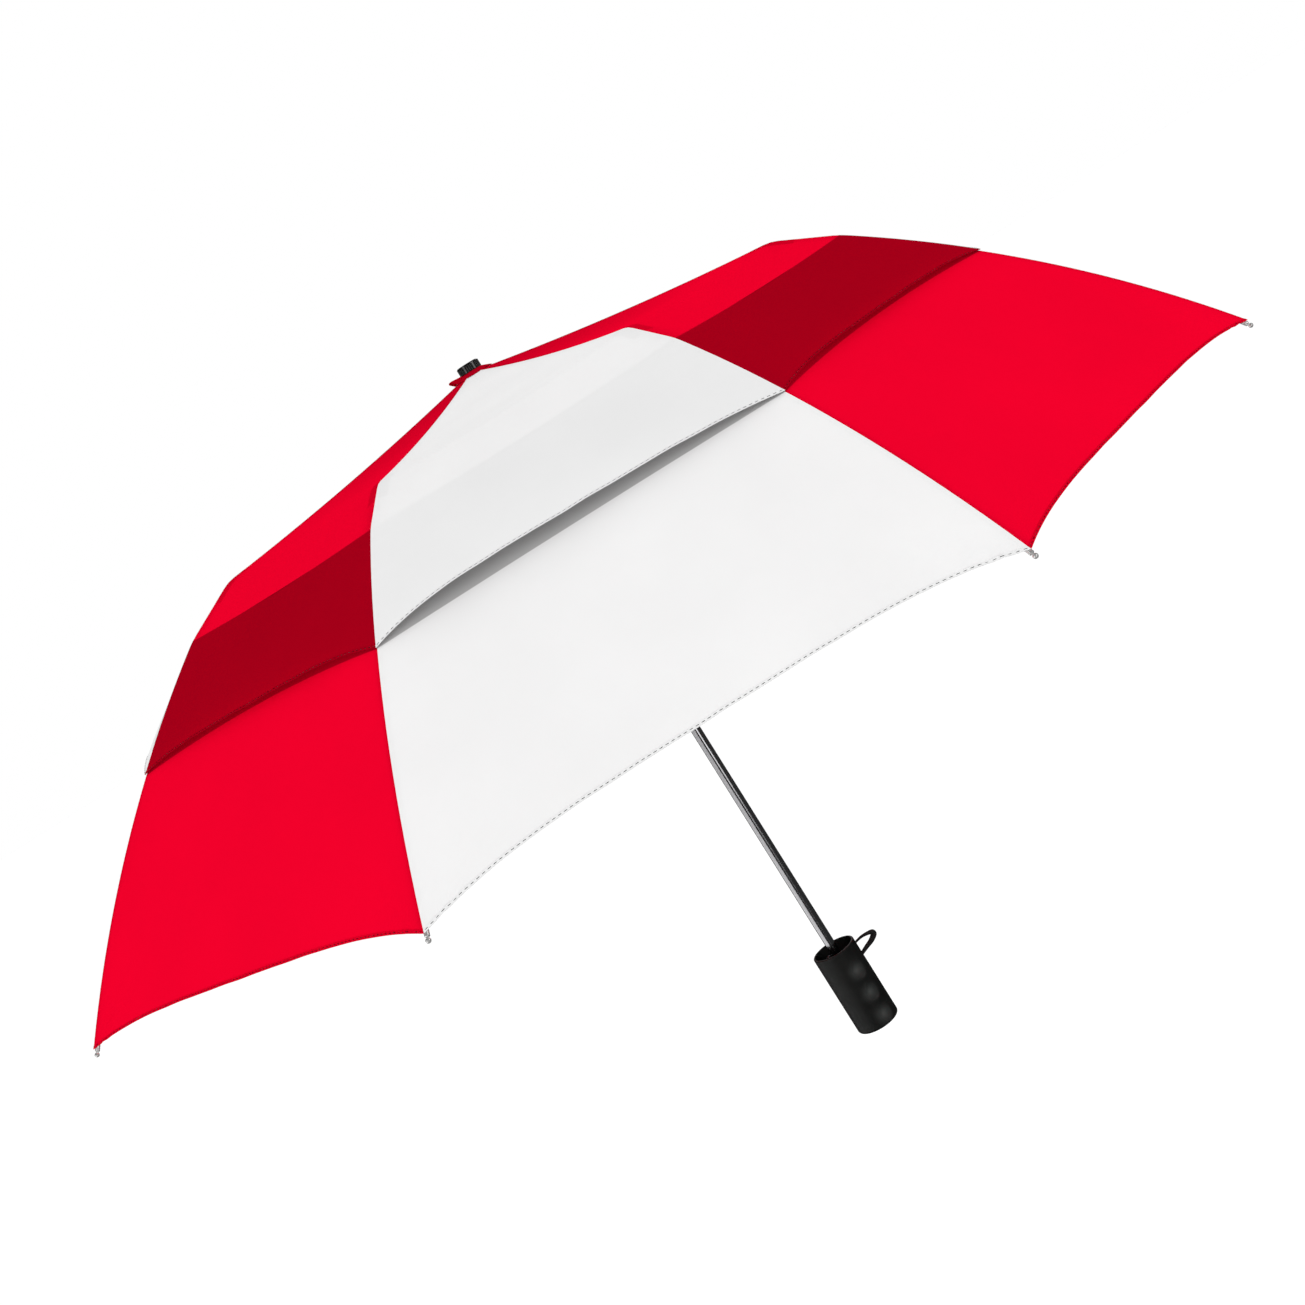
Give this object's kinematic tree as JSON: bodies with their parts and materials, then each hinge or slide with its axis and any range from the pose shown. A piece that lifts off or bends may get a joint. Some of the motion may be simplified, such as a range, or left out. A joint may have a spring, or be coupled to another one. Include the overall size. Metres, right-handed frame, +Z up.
{
  "type": "folding golf umbrella",
  "caption": "Open two-fold vented golf umbrella: red and white canopy panels over folding ribs, telescoping shaft, runner, short cup handle with button and wrist loop.",
  "frame": {"origin": "centre of the handle's flat end face, on the shaft axis", "axes": "+Z up the shaft from handle to crown, +X towards the wrist loop's side, -Y towards the middle of a white panel"},
  "size_m": [1.1618, 1.1618, 0.7689],
  "materials": {
    "grip_rubber": "soft-touch matt",
    "black_plastic": "satin moulded",
    "cap_gloss": "gloss",
    "shaft_metal": "gunmetal, polished",
    "spring_steel": "bright",
    "rib_metal": "black enamel",
    "rod_fibre": "glass-fibre rod, satin",
    "tip_nickel": "nickel plate",
    "cord_black": "braided",
    "red_cloth": "fine pongee weave",
    "white_cloth": "fine pongee weave"
  },
  "bodies": {
    "handle": {"handle_grip": "grip_rubber", "handle_core": "black_plastic", "end_cap": "black_plastic", "lower_tube": "shaft_metal", "wrist_strap": "cord_black"},
    "button": {"push_button": "black_plastic", "latch_hook": "spring_steel", "button_spring": "spring_steel"},
    "mast": {"upper_tube": "shaft_metal", "crown": "black_plastic", "crown_ring": "spring_steel", "rosette": "red_cloth", "top_cap": "cap_gloss", "upper_canopy_white": "white_cloth", "upper_canopy_red": "red_cloth", "lower_canopy_white": "white_cloth", "lower_canopy_red": "red_cloth"},
    "slider": {"runner": "black_plastic"},
    "rib_1": {"inner_rib_1": "rib_metal"},
    "tie_1": {"tie_rod_1": "spring_steel"},
    "strut_1": {"stretcher_1": "rib_metal"},
    "wing_1": {"outer_rib_1": "rod_fibre", "rib_tip_1": "tip_nickel"},
    "rib_2": {"inner_rib_2": "rib_metal"},
    "tie_2": {"tie_rod_2": "spring_steel"},
    "strut_2": {"stretcher_2": "rib_metal"},
    "wing_2": {"outer_rib_2": "rod_fibre", "rib_tip_2": "tip_nickel"},
    "rib_3": {"inner_rib_3": "rib_metal"},
    "tie_3": {"tie_rod_3": "spring_steel"},
    "strut_3": {"stretcher_3": "rib_metal"},
    "wing_3": {"outer_rib_3": "rod_fibre", "rib_tip_3": "tip_nickel"},
    "rib_4": {"inner_rib_4": "rib_metal"},
    "tie_4": {"tie_rod_4": "spring_steel"},
    "strut_4": {"stretcher_4": "rib_metal"},
    "wing_4": {"outer_rib_4": "rod_fibre", "rib_tip_4": "tip_nickel"},
    "rib_5": {"inner_rib_5": "rib_metal"},
    "tie_5": {"tie_rod_5": "spring_steel"},
    "strut_5": {"stretcher_5": "rib_metal"},
    "wing_5": {"outer_rib_5": "rod_fibre", "rib_tip_5": "tip_nickel"},
    "rib_6": {"inner_rib_6": "rib_metal"},
    "tie_6": {"tie_rod_6": "spring_steel"},
    "strut_6": {"stretcher_6": "rib_metal"},
    "wing_6": {"outer_rib_6": "rod_fibre", "rib_tip_6": "tip_nickel"},
    "rib_7": {"inner_rib_7": "rib_metal"},
    "tie_7": {"tie_rod_7": "spring_steel"},
    "strut_7": {"stretcher_7": "rib_metal"},
    "wing_7": {"outer_rib_7": "rod_fibre", "rib_tip_7": "tip_nickel"},
    "rib_8": {"inner_rib_8": "rib_metal"},
    "tie_8": {"tie_rod_8": "spring_steel"},
    "strut_8": {"stretcher_8": "rib_metal"},
    "wing_8": {"outer_rib_8": "rod_fibre", "rib_tip_8": "tip_nickel"}
  },
  "joints": [
    {"name": "shaft_telescope", "type": "slide", "parent": "handle", "child": "mast", "axis": [0, 0, 1], "range_m": [-0.3, 0]},
    {"name": "runner_slide", "type": "slide", "parent": "mast", "child": "slider", "axis": [0, 0, 1], "range_m": [-0.17706, 0], "deforming": ["upper_canopy_white", "upper_canopy_red", "lower_canopy_white", "lower_canopy_red"]},
    {"name": "button_press", "type": "slide", "parent": "handle", "child": "button", "axis": [0.6428, -0.766, 0], "range_m": [0, 0.0025], "stiffness_N_per_m": 900, "deforming": ["button_spring"]},
    {"name": "rib_fold_1", "type": "hinge", "parent": "mast", "child": "rib_1", "pos_m": [0.00878, 0.00364, 0.75155], "axis": [-0.3827, 0.9239, 0], "range_deg": [0, 78.11]},
    {"name": "tie_slide_1", "type": "slide", "parent": "rib_1", "child": "tie_1", "axis": [0.913, 0.3782, -0.1528], "range_m": [-0.012, 0]},
    {"name": "strut_fold_1", "type": "hinge", "parent": "rib_1", "child": "strut_1", "pos_m": [0.14141, 0.05858, 0.72459], "axis": [-0.3827, 0.9239, 0], "range_deg": [-121.81, 0]},
    {"name": "elbow_fold_1", "type": "hinge", "parent": "rib_1", "child": "wing_1", "pos_m": [0.28573, 0.11835, 0.70933], "axis": [-0.3827, 0.9239, 0], "range_deg": [-196.44, 0]},
    {"name": "rib_fold_2", "type": "hinge", "parent": "mast", "child": "rib_2", "pos_m": [0.00364, 0.00878, 0.75155], "axis": [-0.9239, 0.3827, 0], "range_deg": [0, 78.11]},
    {"name": "tie_slide_2", "type": "slide", "parent": "rib_2", "child": "tie_2", "axis": [0.3782, 0.913, -0.1528], "range_m": [-0.012, 0]},
    {"name": "strut_fold_2", "type": "hinge", "parent": "rib_2", "child": "strut_2", "pos_m": [0.05858, 0.14141, 0.72459], "axis": [-0.9239, 0.3827, 0], "range_deg": [-121.81, 0]},
    {"name": "elbow_fold_2", "type": "hinge", "parent": "rib_2", "child": "wing_2", "pos_m": [0.11835, 0.28573, 0.70933], "axis": [-0.9239, 0.3827, 0], "range_deg": [-196.44, 0]},
    {"name": "rib_fold_3", "type": "hinge", "parent": "mast", "child": "rib_3", "pos_m": [-0.00364, 0.00878, 0.75155], "axis": [-0.9239, -0.3827, 0], "range_deg": [0, 78.11]},
    {"name": "tie_slide_3", "type": "slide", "parent": "rib_3", "child": "tie_3", "axis": [-0.3782, 0.913, -0.1528], "range_m": [-0.012, 0]},
    {"name": "strut_fold_3", "type": "hinge", "parent": "rib_3", "child": "strut_3", "pos_m": [-0.05858, 0.14141, 0.72459], "axis": [-0.9239, -0.3827, 0], "range_deg": [-121.81, 0]},
    {"name": "elbow_fold_3", "type": "hinge", "parent": "rib_3", "child": "wing_3", "pos_m": [-0.11835, 0.28573, 0.70933], "axis": [-0.9239, -0.3827, 0], "range_deg": [-196.44, 0]},
    {"name": "rib_fold_4", "type": "hinge", "parent": "mast", "child": "rib_4", "pos_m": [-0.00878, 0.00364, 0.75155], "axis": [-0.3827, -0.9239, 0], "range_deg": [0, 78.11]},
    {"name": "tie_slide_4", "type": "slide", "parent": "rib_4", "child": "tie_4", "axis": [-0.913, 0.3782, -0.1528], "range_m": [-0.012, 0]},
    {"name": "strut_fold_4", "type": "hinge", "parent": "rib_4", "child": "strut_4", "pos_m": [-0.14141, 0.05858, 0.72459], "axis": [-0.3827, -0.9239, 0], "range_deg": [-121.81, 0]},
    {"name": "elbow_fold_4", "type": "hinge", "parent": "rib_4", "child": "wing_4", "pos_m": [-0.28573, 0.11835, 0.70933], "axis": [-0.3827, -0.9239, 0], "range_deg": [-196.44, 0]},
    {"name": "rib_fold_5", "type": "hinge", "parent": "mast", "child": "rib_5", "pos_m": [-0.00878, -0.00364, 0.75155], "axis": [0.3827, -0.9239, 0], "range_deg": [0, 78.11]},
    {"name": "tie_slide_5", "type": "slide", "parent": "rib_5", "child": "tie_5", "axis": [-0.913, -0.3782, -0.1528], "range_m": [-0.012, 0]},
    {"name": "strut_fold_5", "type": "hinge", "parent": "rib_5", "child": "strut_5", "pos_m": [-0.14141, -0.05858, 0.72459], "axis": [0.3827, -0.9239, 0], "range_deg": [-121.81, 0]},
    {"name": "elbow_fold_5", "type": "hinge", "parent": "rib_5", "child": "wing_5", "pos_m": [-0.28573, -0.11835, 0.70933], "axis": [0.3827, -0.9239, 0], "range_deg": [-196.44, 0]},
    {"name": "rib_fold_6", "type": "hinge", "parent": "mast", "child": "rib_6", "pos_m": [-0.00364, -0.00878, 0.75155], "axis": [0.9239, -0.3827, 0], "range_deg": [0, 78.11]},
    {"name": "tie_slide_6", "type": "slide", "parent": "rib_6", "child": "tie_6", "axis": [-0.3782, -0.913, -0.1528], "range_m": [-0.012, 0]},
    {"name": "strut_fold_6", "type": "hinge", "parent": "rib_6", "child": "strut_6", "pos_m": [-0.05858, -0.14141, 0.72459], "axis": [0.9239, -0.3827, 0], "range_deg": [-121.81, 0]},
    {"name": "elbow_fold_6", "type": "hinge", "parent": "rib_6", "child": "wing_6", "pos_m": [-0.11835, -0.28573, 0.70933], "axis": [0.9239, -0.3827, 0], "range_deg": [-196.44, 0]},
    {"name": "rib_fold_7", "type": "hinge", "parent": "mast", "child": "rib_7", "pos_m": [0.00364, -0.00878, 0.75155], "axis": [0.9239, 0.3827, 0], "range_deg": [0, 78.11]},
    {"name": "tie_slide_7", "type": "slide", "parent": "rib_7", "child": "tie_7", "axis": [0.3782, -0.913, -0.1528], "range_m": [-0.012, 0]},
    {"name": "strut_fold_7", "type": "hinge", "parent": "rib_7", "child": "strut_7", "pos_m": [0.05858, -0.14141, 0.72459], "axis": [0.9239, 0.3827, 0], "range_deg": [-121.81, 0]},
    {"name": "elbow_fold_7", "type": "hinge", "parent": "rib_7", "child": "wing_7", "pos_m": [0.11835, -0.28573, 0.70933], "axis": [0.9239, 0.3827, 0], "range_deg": [-196.44, 0]},
    {"name": "rib_fold_8", "type": "hinge", "parent": "mast", "child": "rib_8", "pos_m": [0.00878, -0.00364, 0.75155], "axis": [0.3827, 0.9239, 0], "range_deg": [0, 78.11]},
    {"name": "tie_slide_8", "type": "slide", "parent": "rib_8", "child": "tie_8", "axis": [0.913, -0.3782, -0.1528], "range_m": [-0.012, 0]},
    {"name": "strut_fold_8", "type": "hinge", "parent": "rib_8", "child": "strut_8", "pos_m": [0.14141, -0.05858, 0.72459], "axis": [0.3827, 0.9239, 0], "range_deg": [-121.81, 0]},
    {"name": "elbow_fold_8", "type": "hinge", "parent": "rib_8", "child": "wing_8", "pos_m": [0.28573, -0.11835, 0.70933], "axis": [0.3827, 0.9239, 0], "range_deg": [-196.44, 0]}
  ],
  "couplings": [
    {"joint": "rib_fold_1", "follows": "runner_slide", "rad_per_m": -7.6994},
    {"joint": "tie_slide_1", "follows": "runner_slide", "ratio": 0.067775},
    {"joint": "strut_fold_1", "follows": "runner_slide", "rad_per_m": 12.008},
    {"joint": "elbow_fold_1", "follows": "runner_slide", "rad_per_m": 19.364},
    {"joint": "rib_fold_2", "follows": "runner_slide", "rad_per_m": -7.6994},
    {"joint": "tie_slide_2", "follows": "runner_slide", "ratio": 0.067775},
    {"joint": "strut_fold_2", "follows": "runner_slide", "rad_per_m": 12.008},
    {"joint": "elbow_fold_2", "follows": "runner_slide", "rad_per_m": 19.364},
    {"joint": "rib_fold_3", "follows": "runner_slide", "rad_per_m": -7.6994},
    {"joint": "tie_slide_3", "follows": "runner_slide", "ratio": 0.067775},
    {"joint": "strut_fold_3", "follows": "runner_slide", "rad_per_m": 12.008},
    {"joint": "elbow_fold_3", "follows": "runner_slide", "rad_per_m": 19.364},
    {"joint": "rib_fold_4", "follows": "runner_slide", "rad_per_m": -7.6994},
    {"joint": "tie_slide_4", "follows": "runner_slide", "ratio": 0.067775},
    {"joint": "strut_fold_4", "follows": "runner_slide", "rad_per_m": 12.008},
    {"joint": "elbow_fold_4", "follows": "runner_slide", "rad_per_m": 19.364},
    {"joint": "rib_fold_5", "follows": "runner_slide", "rad_per_m": -7.6994},
    {"joint": "tie_slide_5", "follows": "runner_slide", "ratio": 0.067775},
    {"joint": "strut_fold_5", "follows": "runner_slide", "rad_per_m": 12.008},
    {"joint": "elbow_fold_5", "follows": "runner_slide", "rad_per_m": 19.364},
    {"joint": "rib_fold_6", "follows": "runner_slide", "rad_per_m": -7.6994},
    {"joint": "tie_slide_6", "follows": "runner_slide", "ratio": 0.067775},
    {"joint": "strut_fold_6", "follows": "runner_slide", "rad_per_m": 12.008},
    {"joint": "elbow_fold_6", "follows": "runner_slide", "rad_per_m": 19.364},
    {"joint": "rib_fold_7", "follows": "runner_slide", "rad_per_m": -7.6994},
    {"joint": "tie_slide_7", "follows": "runner_slide", "ratio": 0.067775},
    {"joint": "strut_fold_7", "follows": "runner_slide", "rad_per_m": 12.008},
    {"joint": "elbow_fold_7", "follows": "runner_slide", "rad_per_m": 19.364},
    {"joint": "rib_fold_8", "follows": "runner_slide", "rad_per_m": -7.6994},
    {"joint": "tie_slide_8", "follows": "runner_slide", "ratio": 0.067775},
    {"joint": "strut_fold_8", "follows": "runner_slide", "rad_per_m": 12.008},
    {"joint": "elbow_fold_8", "follows": "runner_slide", "rad_per_m": 19.364}
  ]
}
